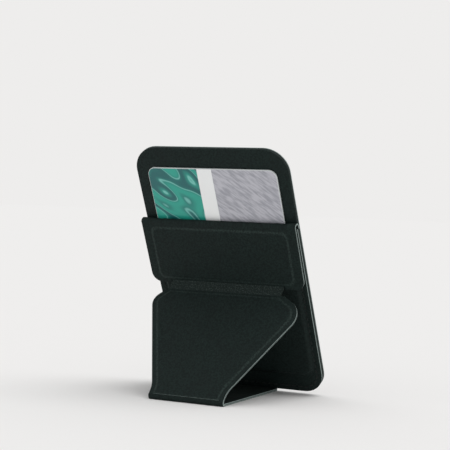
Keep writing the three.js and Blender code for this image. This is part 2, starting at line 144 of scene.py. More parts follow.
class Graph:
    """A material's nodes, added one at a time round its shader."""

    def __init__(self, name: str, coordinates: Coordinates) -> None:
        """Starts a material.

        Args:
            name: the material's name.
            coordinates: what its patterns lie on.
        """
        self.material = bpy.data.materials.new(name)
        self.material.use_nodes = True
        self.nodes = self.material.node_tree.nodes
        self.shader = self.nodes["Principled BSDF"]
        if coordinates is Coordinates.SHEET:
            attribute = self.nodes.new("ShaderNodeAttribute")
            attribute.attribute_name = SHEET
            self.place = attribute.outputs["Vector"]
        else:
            source = self.nodes.new("ShaderNodeTexCoord").outputs["Object"]
            self.place = self.vector("MULTIPLY", source, (1 / MM, 1 / MM, 1 / MM))

    def feed(self, socket: Socket, value: object) -> None:
        """Links a socket to another, or sets its value.

        Args:
            socket: the input.
            value: an output socket, a number, a colour or a vector.
        """
        if isinstance(value, Socket):
            self.material.node_tree.links.new(value, socket)
        elif isinstance(value, tuple) and len(value) == 3 and socket.type == "RGBA":
            socket.default_value = (*value, 1.0)
        else:
            socket.default_value = value

    def add(self, kind: str, **inputs: object) -> bpy.types.Node:
        """Adds a node and fills its inputs by name.

        Args:
            kind: the node's type.
            inputs: values by input name.

        Returns:
            The node.
        """
        node = self.nodes.new(kind)
        for name, value in inputs.items():
            self.feed(node.inputs[name], value)
        return node

    def sum(self, kind: str, operation: str, first: object, second: object) -> Socket:
        """Adds one sum of numbers or vectors.

        Args:
            kind: the node's type.
            operation: its operation.
            first: its first value.
            second: its second value.

        Returns:
            The result.
        """
        node = self.nodes.new(kind)
        node.operation = operation
        self.feed(node.inputs[0], first)
        self.feed(node.inputs[1], second)
        return node.outputs[0]

    def math(self, operation: str, first: object, second: object) -> Socket:
        """Adds one sum of numbers."""
        return self.sum("ShaderNodeMath", operation, first, second)

    def vector(self, operation: str, first: object, second: object) -> Socket:
        """Adds one sum of vectors."""
        return self.sum("ShaderNodeVectorMath", operation, first, second)

    def times(self, first: object, second: object) -> Socket:
        """Multiplies two numbers."""
        return self.math("MULTIPLY", first, second)

    def rise(self, value: object, low: float, high: float) -> Socket:
        """Maps a value to 0 at low and 1 at high, softly.

        Args:
            value: the value.
            low: where the result is 0.
            high: where the result is 1.

        Returns:
            The mapped value.
        """
        node = self.nodes.new("ShaderNodeMapRange")
        node.interpolation_type = "SMOOTHSTEP"
        for socket, given in zip(node.inputs, (value, low, high, 0.0, 1.0)):
            self.feed(socket, given)
        return node.outputs[0]

    def mix(self, share: object, first: object, second: object) -> Socket:
        """Mixes two colours.

        Args:
            share: how much of the second.
            first: the first colour.
            second: the second colour.

        Returns:
            The mixed colour.
        """
        node = self.nodes.new("ShaderNodeMix")
        node.data_type = "RGBA"
        colours = [socket for socket in node.inputs if socket.type == "RGBA"]
        for socket, given in zip((node.inputs[0], *colours), (share, first, second)):
            self.feed(socket, given)
        return next(socket for socket in node.outputs if socket.type == "RGBA")

    def axis(self, index: int) -> Socket:
        """Gives one coordinate, 0 for x to 2 for z."""
        return self.add("ShaderNodeSeparateXYZ", Vector=self.place).outputs[index]

    def turned(self, angle: float) -> Socket:
        """Gives the coordinates turned about z by an angle in degrees."""
        turn = (0.0, 0.0, math.radians(angle))
        return self.add("ShaderNodeMapping", Vector=self.place, Rotation=turn).outputs[0]

    def noise(self, pattern: Patches, place: object = None) -> Socket:
        """Adds a random pattern as it is, about 0.2 to 0.8.

        Args:
            pattern: how it looks.
            place: its coordinates, if not the material's own.

        Returns:
            The pattern.
        """
        where = self.vector("MULTIPLY", place or self.place, pattern.stretch)
        node = self.add("ShaderNodeTexNoise", Vector=where, Scale=pattern.scale, Detail=pattern.detail)
        return node.outputs[0]

    def patches(self, pattern: Patches, place: object = None) -> Socket:
        """Adds a random pattern as clear patches, from 0 to the pattern's share."""
        risen = self.rise(self.noise(pattern, place), pattern.low, pattern.high)
        return self.times(risen, pattern.share)

    def cells(self, scale: float, wobble: float = 0.5, randomness: float = 0.9) -> Socket:
        """Adds a pattern of pebbles, 0 at their middles and 1 at the creases between them.

        Args:
            scale: pebbles per millimetre.
            wobble: how far their outlines waver, in pebbles.
            randomness: how unevenly they lie.

        Returns:
            The pattern.
        """
        waver = self.add("ShaderNodeTexNoise", Vector=self.place, Scale=scale).outputs["Color"]
        reach = wobble / scale
        place = self.vector("ADD", self.place, self.vector("MULTIPLY", waver, (reach, reach, reach)))
        node = self.add("ShaderNodeTexVoronoi", Vector=place, Scale=scale, Randomness=randomness)
        return node.outputs["Distance"]

    def bump(self, height: object, depth: float) -> None:
        """Presses a pattern of 0 to 1 into the surface, so many millimetres deep."""
        node = self.add("ShaderNodeBump", Height=height, Distance=depth * MM)
        self.feed(self.shader.inputs["Normal"], node.outputs["Normal"])

    def dress(self, colour: object, roughness: object, gloss: float) -> Material:
        """Fills the shader.

        Args:
            colour: the surface's colour.
            roughness: its roughness.
            gloss: its specular level.

        Returns:
            The material.
        """
        self.feed(self.shader.inputs["Base Color"], colour)
        self.feed(self.shader.inputs["Roughness"], roughness)
        self.feed(self.shader.inputs["Specular IOR Level"], gloss)
        return self.material


@dataclass(frozen=True)
class LeatherFinish:
    """Coated leather with a fine pebble grain, a little worn, and a painted highlight on the slopes round a board.
    """

    name: str = "dark green leather"
    colour: Colour = linear(23, 35, 33)
    crease: Colour = linear(12, 20, 19)
    worn: Colour = linear(37, 50, 47)
    # painted highlight: the lighter colour of the slopes round a board
    painted_slope_highlight: Colour = linear(68, 82, 78)
    roughness: float = 0.58
    gloss: float = 0.14
    grain: float = 1.5
    grain_depth: float = 0.05
    crease_range: Pair = (0.28, 0.75)
    crease_share: float = 0.6
    clouds: Patches = Patches(0.12, 4.0, 0.3, 0.72)
    cloud_share: float = 0.35
    cloud_roughness: float = 0.14
    rubs: Patches = Patches(0.9, 5.0, 0.52, 0.78, 0.3)
    fine: Patches = Patches(6.0, 3.0)
    fine_share: float = 0.25
    slope_start: Pair = (0.0, 0.1)
    slope_end: Pair = (0.34, 0.22)
    slope_highlight_share: float = 0.28

    def material(self) -> Material:
        """Makes the material."""
        graph = Graph(self.name, Coordinates.SHEET)
        crease = graph.rise(graph.cells(self.grain), *self.crease_range)
        cloud = graph.patches(self.clouds)
        base = graph.mix(graph.times(cloud, self.cloud_share), self.colour, self.worn)
        worn = graph.mix(graph.patches(self.rubs), base, self.worn)
        height = graph.axis(2)
        # Painted highlight: the slope between the flat margin and the lifted field is mixed towards a lighter
        # colour.
        slope = graph.times(graph.rise(height, *self.slope_start), graph.rise(height, *self.slope_end))
        worn = graph.mix(graph.times(slope, self.slope_highlight_share), worn, self.painted_slope_highlight)
        colour = graph.mix(graph.times(crease, self.crease_share), worn, self.crease)
        rough = graph.math("ADD", self.roughness, graph.times(cloud, self.cloud_roughness))
        fine = graph.times(graph.noise(self.fine), self.fine_share)
        graph.bump(graph.math("SUBTRACT", fine, crease), self.grain_depth)
        return graph.dress(colour, rough, self.gloss)


@dataclass(frozen=True)
class CutEdgeFinish:
    """The pale painted cut edge of the leather."""

    name: str = "pale cut edge"
    colour: Colour = linear(133, 146, 143)
    stain: Colour = linear(84, 96, 94)
    fibres: Patches = Patches(0.8, 4.0, 0.45, 0.8, stretch=(1.0, 1.0, 4.0))
    depth: float = 0.06
    roughness: float = 0.7
    gloss: float = 0.3

    def material(self) -> Material:
        """Makes the material."""
        graph = Graph(self.name, Coordinates.SHEET)
        graph.bump(graph.noise(self.fibres), self.depth)
        colour = graph.mix(graph.patches(self.fibres), self.colour, self.stain)
        return graph.dress(colour, self.roughness, self.gloss)


@dataclass(frozen=True)
class HingeFinish:
    """The creased, coarsely speckled strip where the sheet bends."""

    name: str = "creased hinge strip"
    colour: Colour = linear(34, 43, 41)
    speck: Colour = linear(74, 86, 82)
    creases: Patches = Patches(1.6, 4.0, stretch=(0.25, 1.0, 1.0))
    specks: Patches = Patches(2.2, 2.0, 0.52, 0.66)
    speck_share: float = 0.75
    speck_height: float = 0.5
    depth: float = 0.16
    roughness: float = 0.8
    gloss: float = 0.12

    def material(self) -> Material:
        """Makes the material."""
        graph = Graph(self.name, Coordinates.SHEET)
        specks = graph.patches(self.specks)
        colour = graph.mix(graph.times(specks, self.speck_share), self.colour, self.speck)
        raised = graph.times(specks, self.speck_height)
        graph.bump(graph.math("ADD", graph.noise(self.creases), raised), self.depth)
        return graph.dress(colour, self.roughness, self.gloss)


@dataclass(frozen=True)
class ThreadFinish:
    """Twisted sewing thread, its colour striped along the twist: a painted highlight on each ply and painted shade
    between them.
    """

    name: str = "sewing thread"
    colour: Colour = linear(12, 17, 17)
    # painted highlight on the plies
    light: Colour = linear(36, 44, 42)
    twist: float = 35.0
    plies: float = 1.1
    depth: float = 0.05
    roughness: float = 0.75
    gloss: float = 0.3

    def material(self) -> Material:
        """Makes the material."""
        graph = Graph(self.name, Coordinates.SHEET)
        wave = graph.add("ShaderNodeTexWave", Vector=graph.turned(self.twist), Scale=self.plies)
        graph.bump(wave.outputs["Fac"], self.depth)
        # Painted highlight and painted shade: the colour follows the ply stripes.
        colour = graph.mix(wave.outputs["Fac"], self.colour, self.light)
        return graph.dress(colour, self.roughness, self.gloss)


@dataclass(frozen=True)
class LiningFinish:
    """Short-napped lining cloth."""

    name: str = "lining cloth"
    colour: Colour = linear(20, 27, 25)
    light: Colour = linear(34, 42, 40)
    nap: Patches = Patches(5.0, 5.0)
    strokes: Patches = Patches(0.15, 3.0, 0.35, 0.65)
    depth: float = 0.1
    roughness: float = 0.95
    gloss: float = 0.05

    def material(self) -> Material:
        """Makes the material, lit half by its nap and half by the strokes in it."""
        graph = Graph(self.name, Coordinates.OBJECT)
        nap = graph.noise(self.nap)
        share = graph.times(graph.math("ADD", nap, graph.patches(self.strokes)), 1 / 2)
        graph.bump(nap, self.depth)
        return graph.dress(graph.mix(share, self.colour, self.light), self.roughness, self.gloss)


@dataclass(frozen=True)
class BoardFinish:
    """Grey pressed board."""

    name: str = "pressed board"
    colour: Colour = linear(142, 138, 128)
    fleck: Colour = linear(104, 100, 92)
    flecks: Patches = Patches(1.4, 6.0, 0.5, 0.7)
    relief: Patches = Patches(3.0, 5.0)
    depth: float = 0.06
    roughness: float = 0.88
    gloss: float = 0.25

    def material(self) -> Material:
        """Makes the material."""
        graph = Graph(self.name, Coordinates.OBJECT)
        graph.bump(graph.noise(self.relief), self.depth)
        colour = graph.mix(graph.patches(self.flecks), self.colour, self.fleck)
        return graph.dress(colour, self.roughness, self.gloss)


@dataclass(frozen=True)
class MetalFinish:
    """Plated magnet or rolled steel."""

    name: str
    colour: Colour
    roughness: float
    brushing: Patches = Patches(2.0, 4.0, stretch=(0.2, 2.0, 2.0))
    haze: float = 0.2
    depth: float = 0.01
    gloss: float = 0.5

    def material(self) -> Material:
        """Makes the material."""
        graph = Graph(self.name, Coordinates.OBJECT)
        brushed = graph.noise(self.brushing)
        graph.feed(graph.shader.inputs["Metallic"], 1.0)
        graph.bump(brushed, self.depth)
        haze = graph.math("ADD", self.roughness, graph.times(brushed, self.haze))
        return graph.dress(self.colour, haze, self.gloss)


@dataclass(frozen=True)
class CardFinish:
    """A plain bank card: a teal part with fine waves, a white stripe and a brushed grey part."""

    name: str = "printed card"
    stripe_start: float = -5.6
    stripe_end: float = 0.6
    stripe_blur: float = 0.2
    teal: Colour = linear(36, 162, 144)
    deep: Colour = linear(14, 100, 100)
    mist: Colour = linear(134, 212, 202)
    white: Colour = linear(246, 248, 248)
    grey: Colour = linear(192, 192, 200)
    dim: Colour = linear(158, 159, 168)
    turn: float = 38.0
    flow: Patches = Patches(0.05, 1.0, stretch=(0.7, 1.6, 1.0))
    flow_waves: float = 8.0
    flow_drift: float = 0.04
    half_wave: float = 0.5
    wave_range: Pair = (0.05, 0.45)
    line_rate: float = 1.7
    line_range: Pair = (0.4, 0.5)
    line_share: float = 0.7
    streaks: Patches = Patches(0.8, 4.0, 0.36, 0.66, stretch=(0.3, 1.6, 1.0))
    coat: float = 0.2
    roughness: float = 0.4
    gloss: float = 0.45

    def waves(self, graph: Graph, across: object, turned: object) -> Socket:
        """Prints the teal part.

        Args:
            graph: the material.
            across: the coordinate across the card.
            turned: the slanted coordinates.

        Returns:
            The colour.
        """
        slow = graph.times(graph.noise(self.flow, turned), self.flow_waves)
        flow = graph.math("ADD", slow, graph.times(across, self.flow_drift))
        ridge = graph.math("PINGPONG", flow, self.half_wave)
        field = graph.mix(graph.rise(ridge, *self.wave_range), self.deep, self.teal)
        lines = graph.math("PINGPONG", graph.times(flow, self.line_rate), self.half_wave)
        share = graph.times(graph.rise(lines, *self.line_range), self.line_share)
        return graph.mix(share, field, self.mist)

    def material(self) -> Material:
        """Makes the material."""
        graph = Graph(self.name, Coordinates.SHEET)
        across, turned = graph.axis(0), graph.turned(self.turn)
        colour = self.waves(graph, across, turned)
        grey = graph.mix(graph.patches(self.streaks, turned), self.grey, self.dim)
        for start, beyond in ((self.stripe_start, self.white), (self.stripe_end, grey)):
            colour = graph.mix(graph.rise(across, start, start + self.stripe_blur), colour, beyond)
        graph.feed(graph.shader.inputs["Coat Weight"], self.coat)
        return graph.dress(colour, self.roughness, self.gloss)


@dataclass(frozen=True)
class CardEdgeFinish:
    """The pale core that a card shows at its edge."""

    name: str = "card edge"
    colour: Colour = linear(228, 232, 232)
    layer: Colour = linear(206, 212, 212)
    layers: Patches = Patches(1.0, 3.0, stretch=(0.2, 0.2, 6.0))
    roughness: float = 0.5
    gloss: float = 0.4

    def material(self) -> Material:
        """Makes the material."""
        graph = Graph(self.name, Coordinates.SHEET)
        colour = graph.mix(graph.noise(self.layers), self.colour, self.layer)
        return graph.dress(colour, self.roughness, self.gloss)


@dataclass(frozen=True)
class Place:
    """A flat frame of the holder: its origin in metres, and its directions."""

    origin: Vector
    up: Vector
    out: Vector

    def matrix(self) -> Matrix:
        """Gives the matrix that carries millimetres in this frame into the row frame."""
        across = self.up.cross(self.out)
        turned = Matrix((across, self.up, self.out)).transposed().to_4x4()
        return Matrix.Translation(self.origin) @ turned @ Matrix.Scale(MM, 4)

    def at(self, x: float, up: float, out: float) -> Vector:
        """Gives the point at these millimetres of the frame, in metres of the row frame."""
        return self.matrix() @ Vector((x, up, out))

    def turned(self, angle: float) -> tuple[Vector, Vector]:
        """Gives the frame's up and out directions, turned about x by an angle in radians."""
        turn = Matrix.Rotation(angle, 3, self.up.cross(self.out))
        return turn @ self.up, turn @ self.out


@dataclass(frozen=True)
class Corner:
    """A corner of an outline, rounded by its radius."""

    x: float
    y: float
    radius: float = 0.0


@dataclass(frozen=True)
class Outline:
    """A closed outline, its corners listed clockwise."""

    corners: tuple[Corner, ...]

    @classmethod
    def both_sides(cls, *right: Corner, left: Sequence[Corner] = (), shift: float = 0.0) -> Outline:
        """Makes an outline round x = shift from halves, each listed from the top as if on the right."""
        mirrored = tuple(Corner(shift - c.x, c.y, c.radius) for c in reversed(left or right))
        return cls(tuple(Corner(shift + c.x, c.y, c.radius) for c in right) + mirrored)

    def inset(self, distance: float, least: float = 0.0) -> Outline:
        """Moves each edge inwards.

        Args:
            distance: how far.
            least: the smallest radius of a rounded corner.

        Returns:
            The new outline.
        """
        moved = []
        for index, corner in enumerate(self.corners):
            before = self.corners[index - 1]
            after = self.corners[(index + 1) % len(self.corners)]
            into = Vector((corner.x - before.x, corner.y - before.y)).normalized()
            onward = Vector((after.x - corner.x, after.y - corner.y)).normalized()
            shift = distance / (1 + into.dot(onward))
            x = corner.x + shift * (into.y + onward.y)
            y = corner.y - shift * (into.x + onward.x)
            outer = into.x * onward.y - into.y * onward.x < 0
            radius = max(corner.radius - distance, least) if outer else corner.radius + distance
            moved.append(Corner(x, y, max(radius, LEAST_RADIUS) if corner.radius else 0.0))
        return Outline(tuple(moved))

    def ring(self, out: float) -> Ring:
        """Walks round the outline at one level.

        Args:
            out: the level.

        Returns:
            The points, one at a sharp corner and several round a rounded one.
        """
        points = []
        for index, corner in enumerate(self.corners):
            here = Vector((corner.x, corner.y))
            before = self.corners[index - 1]
            after = self.corners[(index + 1) % len(self.corners)]
            back = (Vector((before.x, before.y)) - here).normalized()
            onward = (Vector((after.x, after.y)) - here).normalized()
            if not corner.radius:
                points.append(Vector((here.x, here.y, out)))
                continue
            half = back.angle(onward) / 2
            centre = here + (back + onward).normalized() * corner.radius / math.sin(half)
            start = here + back * corner.radius / math.tan(half) - centre
            sweep = (math.pi - 2 * half) * (-1 if back.x * onward.y - back.y * onward.x > 0 else 1)
            for step in range(ROUND_STEPS + 1):
                turn = sweep * step / ROUND_STEPS
                x = start.x * math.cos(turn) - start.y * math.sin(turn)
                y = start.x * math.sin(turn) + start.y * math.cos(turn)
                points.append(Vector((centre.x + x, centre.y + y, out)))
        return points


def loft(rings: Sequence[Ring]) -> Solid:
    """Grows a closed solid from its first ring to its last.

    Args:
        rings: rings of equal length.

    Returns:
        The solid.
    """
    solid = bmesh.new()
    face = solid.faces.new([solid.verts.new(point) for point in rings[0]])
    first = face
    for ring in rings[1:]:
        made = bmesh.ops.extrude_face_region(solid, geom=[face])["geom"]
        if face is not first:
            bmesh.ops.delete(solid, geom=[face], context="FACES_ONLY")
        face = next(item for item in made if isinstance(item, bmesh.types.BMFace))
        for vert, point in zip(face.verts, ring):
            vert.co = point
    bmesh.ops.recalc_face_normals(solid, faces=solid.faces)
    return solid


def cut(solid: Solid, height: float, keep_below: bool) -> None:
    """Cuts a solid straight across and closes the cut.

    Args:
        solid: the solid.
        height: where, along y.
        keep_below: whether the part below stays.
    """
    normal = Vector((0.0, 1.0 if keep_below else -1.0, 0.0))
    whole = solid.verts[:] + solid.edges[:] + solid.faces[:]
    made = bmesh.ops.bisect_plane(
        solid, geom=whole, plane_co=(0.0, height, 0.0), plane_no=normal, clear_outer=True,
    )["geom_cut"]
    rim = [item for item in made if isinstance(item, bmesh.types.BMEdge)]
    bmesh.ops.edgenet_fill(solid, edges=rim)
    bmesh.ops.recalc_face_normals(solid, faces=solid.faces)


def softened(outline: Outline, back: float, front: float, soften: float = SOFTEN) -> list[Ring]:
    """Gives the rings of a slab whose outer edges are rounded over.

    Args:
        outline: the slab's outline.
        back: its lower level.
        front: its upper level.
        soften: the radius on its edges.

    Returns:
        The rings, from the back to the front.
    """
    turns = [math.radians(angle) for angle in (90, 60, 30, 0)]
    under = [(soften * (1 - math.cos(turn)), back + soften * (1 - math.sin(turn))) for turn in turns]
    over = [(inset, back + front - level) for inset, level in reversed(under)]
    return [outline.inset(inset).ring(level) for inset, level in under + over]


def climbed(
    outline: Callable[[float], Outline], insets: Pair, levels: Pair,
    steps: int = SLOPE_STEPS,
) -> list[Ring]:
    """Gives the rings of a soft slope.

    Args:
        outline: gives the outline at an inset.
        insets: the insets where the slope starts and ends.
        levels: the levels where it starts and ends.
        steps: how many steps it has.

    Returns:
        The rings, from its start to its end.
    """
    (start, end), (low, high) = insets, levels
    return [
        outline(start + (end - start) * step / steps).ring(low + (high - low) * smooth(0, steps, step))
        for step in range(steps + 1)
    ]


def bent(along: float, depth: float, lead: float, radius: float, turn: float) -> Pair:
    """Bends a strip: straight over its lead, then round an arc, then straight on.

    Args:
        along: how far along the strip's outer face.
        depth: how far below that face.
        lead: the length of the first straight.
        radius: the radius of the arc's outer face.
        turn: the arc's angle, positive to bend away from the outer side.

    Returns:
        How far along and how far out the point lies, seen from the strip's start.
    """
    if along <= lead:
        return along, -depth
    way = math.copysign(1.0, turn)
    arc = min((along - lead) / radius, abs(turn))
    reach = radius - way * depth
    beyond = max(along - lead - radius * abs(turn), 0.0)
    forward = lead + reach * math.sin(arc) + beyond * math.cos(arc)
    outward = -way * (radius - reach * math.cos(arc)) - way * beyond * math.sin(arc)
    return forward, outward


def strip(width: float, length: float, across: int, rows: int) -> Solid:
    """Makes a flat strip: x across, y from 0 at its start to its length, and z from 0 down to -1.

    Args:
        width: its width.
        length: its length.
        across: how many faces it has across.
        rows: how many faces it has along.

    Returns:
        The strip.
    """
    sheet = bmesh.new()
    bmesh.ops.create_grid(sheet, x_segments=across, y_segments=rows, size=0.5)
    bmesh.ops.transform(sheet, matrix=Matrix.Diagonal((width, length, 1.0, 1.0)), verts=sheet.verts)
    bmesh.ops.translate(sheet, vec=(0.0, length / 2, 0.0), verts=sheet.verts)
    under = bmesh.ops.extrude_face_region(sheet, geom=sheet.faces[:])["geom"]
    lowered = [item for item in under if isinstance(item, bmesh.types.BMVert)]
    bmesh.ops.translate(sheet, vec=(0.0, 0.0, -1.0), verts=lowered)
    bmesh.ops.recalc_face_normals(sheet, faces=sheet.faces)
    return sheet


def shape(solid: Solid, move: Callable[[Vector], Vector]) -> None:
    """Keeps the flat coordinates of a strip, then moves its points.

    Args:
        solid: the strip.
        move: gives a point's new place.
    """
    layer = solid.verts.layers.float_vector.new(SHEET)
    for vert in solid.verts:
        vert[layer] = vert.co
        vert.co = move(vert.co.copy())
    bmesh.ops.recalc_face_normals(solid, faces=solid.faces)


def placed(name: str, data: bpy.types.ID) -> bpy.types.Object:
    """Puts a mesh, a lamp or a camera into the scene.

    Args:
        name: the object's name.
        data: what it shows.

    Returns:
        The object.
    """
    made = bpy.data.objects.new(name, data)
    bpy.context.scene.collection.objects.link(made)
    return made


@dataclass(frozen=True)
class Finishes:
    """Every finish of the holder, as materials."""

    leather: Material
    edge: Material
    hinge: Material
    thread: Material
    lining: Material
    board: Material
    magnet: Material
    steel: Material
    card: Material
    card_edge: Material

    @classmethod
    def made(cls) -> Finishes:
        """Makes them all."""
        return cls(
            leather=LeatherFinish().material(),
            edge=CutEdgeFinish().material(),
            hinge=HingeFinish().material(),
            thread=ThreadFinish().material(),
            lining=LiningFinish().material(),
            board=BoardFinish().material(),
            magnet=MetalFinish("plated magnet", linear(190, 192, 196), 0.3).material(),
            steel=MetalFinish("rolled steel", linear(158, 160, 164), 0.38).material(),
            card=CardFinish().material(),
            card_edge=CardEdgeFinish().material(),
        )

    @property
    def cut_leather(self) -> tuple[Material, ...]:
        """Gives leather with its cut edge."""
        return self.leather, self.edge


@dataclass(frozen=True)
class Piece:
    """How a finished shape becomes an object."""

    name: str
    place: Place
    materials: tuple[Material, ...]
    slot: str
    body: str = ""
    stands_for: tuple[str, ...] = ()
    pale: PaleFaces = PaleFaces.SIDES

    def build(self, solid: Solid) -> bpy.types.Object:
        """Turns a shape into a dressed object in the row frame.

        Args:
            solid: the shape, in the place's flat frame.

        Returns:
            The object.
        """
        layer = solid.verts.layers.float_vector.get(SHEET)
        if layer is None:
            layer = solid.verts.layers.float_vector.new(SHEET)
            for vert in solid.verts:
                vert[layer] = vert.co
        if len(self.materials) > 1:
            for face in solid.faces:
                face.material_index = int(self.pale.holds(face.normal))
        mesh = bpy.data.meshes.new(self.name)
        solid.to_mesh(mesh)
        solid.free()
        mesh.transform(self.place.matrix())
        for material in self.materials:
            mesh.materials.append(material)
        mesh.polygons.foreach_set("use_smooth", [True] * len(mesh.polygons))
        mesh.set_sharp_from_angle(angle=SMOOTH_ANGLE)
        made = placed(self.name, mesh)
        if self.stands_for:
            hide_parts(*self.stands_for)
        if self.body:
            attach(made, self.body)
        log.info("%s: %d faces", self.name, len(mesh.polygons))
        return made


@dataclass(frozen=True)
class Holder:
    """Where the pad and the panels of the stand lie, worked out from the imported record."""

    fold_height: float = 73.3
    fold_out: float = 4.4
    fold_radius: float = 1.3
    panel_tilt: float = math.radians(0.7)
    foot_radius: float = 1.4

    def joint(self, name: str) -> Vector:
        """Finds a joint's anchor, in metres."""
        found = next(joint for joint in frame["joints"] if joint["name"] == name)
        return Vector(found["pos_m"])

    def pad(self) -> Place:
        """Gives the pad's frame: its origin is the middle of the back face's lower edge."""
        mounts = frame["record"]["mounts"]
        back = next(mount for mount in mounts if mount["name"] == "pad_back")
        out = -Vector(back["axis"]).normalized()
        up = out.cross(Vector((1.0, 0.0, 0.0)))
        origin = self.joint("top_fold_hinge") - up * self.fold_height * MM - out * self.fold_out * MM
        return Place(origin, up, out)

    def panel(self) -> Place:
        """Gives the upper panel's frame: its origin lies on the outer face beside the top fold's middle."""
        up, out = self.pad().turned(-self.panel_tilt)
        return Place(self.joint("top_fold_hinge") + out * self.fold_radius * MM, up, out)

    def leg(self) -> Place:
        """Gives the leg's frame: its origin lies in the valley fold."""
        valley = self.joint("valley_hinge")
        reach = self.joint("foot_hinge") - valley
        lean = math.asin(self.foot_radius * MM / reach.length)
        up = Matrix.Rotation(-lean, 3, "X") @ -reach.normalized()
        return Place(valley, up, Vector((1.0, 0.0, 0.0)).cross(up))

    def foot_angle(self) -> float:
        """Gives the angle between the leg and the floor."""
        up = self.leg().up
        return math.atan2(up.z, up.y)

    def leg_length(self) -> float:
        """Gives the leg's length from the valley fold to the corner on the floor, in millimetres."""
        leg = self.leg()
        return leg.origin.z / leg.up.z / MM

    def base(self) -> Place:
        """Gives the base's frame: its origin is the corner between leg and floor."""
        corner = self.leg().at(0.0, -self.leg_length(), 0.0)
        return Place(corner, Vector((0.0, -1.0, 0.0)), Vector((0.0, 0.0, -1.0)))


@dataclass(frozen=True)
class Pad:
    """The pad with its covers, the pocket sewn on to it and the card in the pocket."""

    holder: Holder
    finishes: Finishes
    width: float = 63.8
    height: float = 103.3
    top_radius: float = 9.5
    bottom_radius: float = 8.5
    back_cover: float = 0.6
    inner_back: float = 0.65
    inner_front: float = 2.0
    room_inset: float = 2.85
    room_front: float = 1.45
    wall_back: float = 2.05
    border_front: float = 2.75
    wall_front: float = 3.95
    wall_top: float = 71.85
    wall_skin_back: float = 3.3
    slope: float = 2.0
    card_room_side: float = 27.29
    card_room_bottom: float = 9.6
    card_room_radius: float = 3.18
    card_shift: float = 0.3
    card_width: float = 53.98
    card_height: float = 85.6
    card_bottom: float = 9.9
    card_back: float = 2.1
    card_front: float = 2.9
    stitch_inset: float = 2.1
    stitch_pitch: float = 2.6
    stitch_length: float = 1.9
    stitch_radius: float = 0.34
    stitch_flatness: float = 0.8
    stitch_slant: Pair = (3.0, 9.0)
    stitch_seed: int = 7
    stitch_faces: tuple[int, int] = (8, 6)
    seam_end: float = 1.5
    overrun: float = 9.0
    inner_soften: float = 0.22
    card_soften: float = 0.2
    wall_side: float = 0.3
    border_ease: float = 0.25
    field_ease: float = 0.05

    def outline(self) -> Outline:
        """Gives the pad's outline."""
        side = self.width / 2
        return Outline.both_sides(
            Corner(side, self.height, self.top_radius),
            Corner(side, 0.0, self.bottom_radius),
        )

    def open_outline(self) -> Outline:
        """Gives the lower part of the pad's outline, run on past the pocket's mouth."""
        side = self.width / 2
        return Outline.both_sides(
            Corner(side, self.wall_top + self.overrun),
            Corner(side, 0.0, self.bottom_radius),
        )

    def card_room(self, grow: float) -> Outline:
        """Gives the card's room, grown on each side and run on past the pocket's mouth."""
        side = self.card_room_side + grow
        return Outline.both_sides(
            Corner(side, self.wall_top + self.overrun),
            Corner(side, self.card_room_bottom - grow, self.card_room_radius + grow),
            shift=self.card_shift,
        )

    def make_back_cover(self) -> None:
        """Makes the soft cover on the pad's back."""
        cover = loft(softened(self.outline(), 0.0, self.back_cover))
        two = self.finishes.cut_leather
        Piece("pad_back_leather", self.holder.pad(), two, "leather", "pad", ("back_cover",)).build(cover)

    def make_inner_cover(self) -> None:
        """Makes the cover on the pad's inner side, hollow where the magnets' carrier lies."""
        room = self.outline().inset(self.room_inset)
        rings = [room.ring(self.room_front), room.ring(self.inner_back)]
        rings += softened(self.outline(), self.inner_back, self.inner_front, self.inner_soften)
        one = (self.finishes.leather,)
        cover = Piece("pad_inner_leather", self.holder.pad(), one, "leather", "pad", ("inner_cover",))
        cover.build(loft(rings))

    def make_pocket(self) -> None:
        """Makes the pocket's wall, which rises from its sewn border over the card."""
        room, foot = self.card_room(0.0), self.wall_side + self.slope
        wall = loft([
            room.ring(self.wall_skin_back),
            room.ring(self.wall_back),
            *softened(self.open_outline(), self.wall_back, self.border_front),
            self.card_room(foot).inset(-self.border_ease).ring(self.border_front),
            *climbed(self.card_room, (foot, self.wall_side), (self.border_front, self.wall_front)),
            self.card_room(self.field_ease).ring(self.wall_front),
        ])
        cut(wall, self.wall_top, keep_below=True)
        two = self.finishes.cut_leather
        Piece("pocket_leather", self.holder.pad(), two, "leather", "pad", ("pocket_wall",)).build(wall)

    def stitch_places(self) -> list[tuple[Vector, float]]:
        """Walks along the seam and sets one stitch after another.

        Returns:
            The middle of each stitch and its direction.
        """
        track = self.open_outline().inset(self.stitch_inset).ring(self.border_front)
        places = []
        travelled = self.stitch_pitch / 2
        for start, end in zip(track, track[1:]):
            way = end - start
            while travelled < way.length:
                middle = start + way.normalized() * travelled
                if middle.y < self.wall_top - self.seam_end:
                    places.append((middle, math.atan2(way.y, way.x)))
                travelled += self.stitch_pitch
            travelled -= way.length
        return places

    def make_stitches(self) -> None:
        """Sews the pocket to the pad."""
        seam = bmesh.new()
        draw = random.Random(self.stitch_seed)
        radius, (sides, rings) = self.stitch_radius, self.stitch_faces
        size = Matrix.Diagonal((self.stitch_length / 2, radius, radius * self.stitch_flatness, 1.0))
        across = Matrix.Rotation(math.radians(90), 4, "Y")
        for middle, direction in self.stitch_places():
            slant = math.radians(draw.uniform(*self.stitch_slant))
            turn = Matrix.Rotation(direction + slant, 4, "Z")
            matrix = Matrix.Translation(middle) @ turn @ size @ across
            bmesh.ops.create_uvsphere(seam, u_segments=sides, v_segments=rings, radius=1.0, matrix=matrix)
        thread = (self.finishes.thread,)
        Piece("pocket_stitches", self.holder.pad(), thread, "leather", "pad").build(seam)

